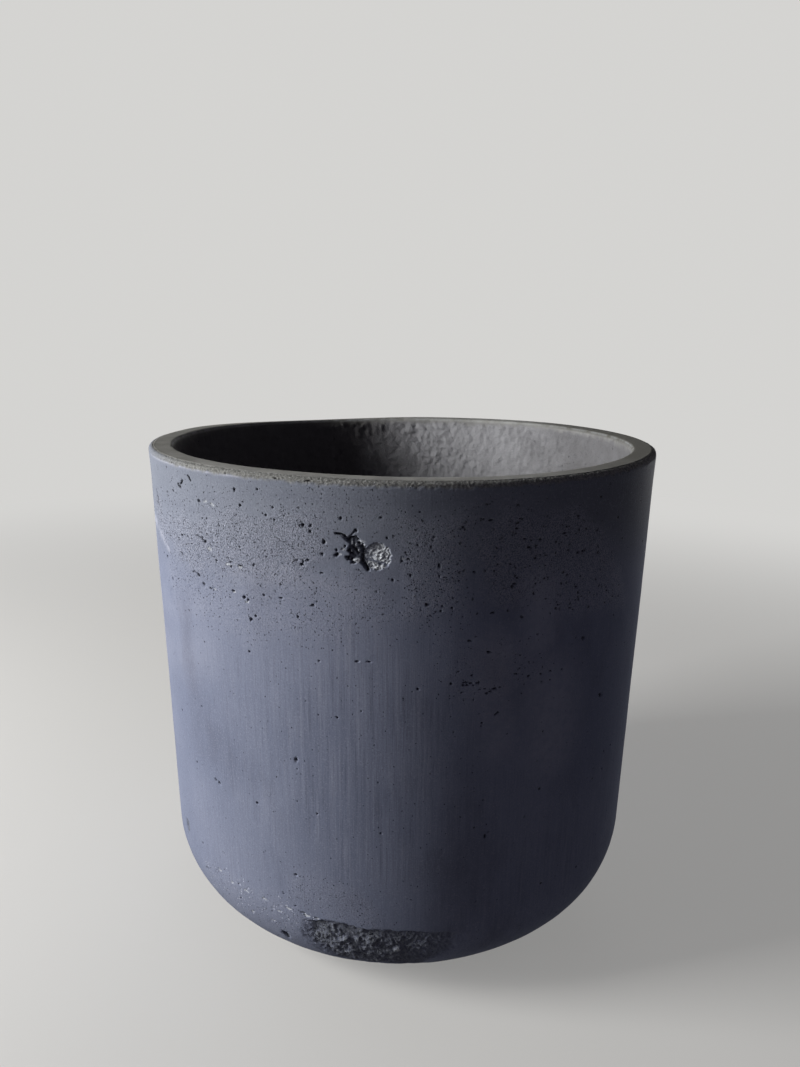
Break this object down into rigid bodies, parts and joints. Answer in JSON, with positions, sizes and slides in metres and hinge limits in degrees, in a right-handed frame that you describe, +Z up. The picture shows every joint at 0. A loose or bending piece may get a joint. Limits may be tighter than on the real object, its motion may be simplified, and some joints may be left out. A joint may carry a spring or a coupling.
{
  "type": "floor planter",
  "caption": "Round floor planter with a thick flat rim, a gently leaning wall, a rounded lower corner, a rough deep cavity and a lift-out drain plug.",
  "frame": {"origin": "on the floor under the middle of the pot, at the lower faces of the pads", "axes": "+Z up along the pot's axis, -Y towards the side with the chip, which faces the camera in the picture, +X to the right from there"},
  "size_m": [0.3998, 0.3998, 0.382],
  "materials": {
    "face_coat": "matte",
    "fibre_mat": "matte",
    "backing_wall": "matte",
    "plug_rubber": "satin",
    "pad_felt": "matte"
  },
  "bodies": {
    "pot": {"face_coat": "face_coat", "fibre_mat": "fibre_mat", "backing_wall": "backing_wall", "foot_pad_1": "pad_felt", "foot_pad_2": "pad_felt", "foot_pad_3": "pad_felt", "foot_pad_4": "pad_felt"},
    "plug": {"drain_plug": "plug_rubber"}
  },
  "joints": [
    {"name": "plug_lift", "type": "slide", "parent": "pot", "child": "plug", "axis": [0, 0, 1], "range_m": [0, 0.4]}
  ]
}
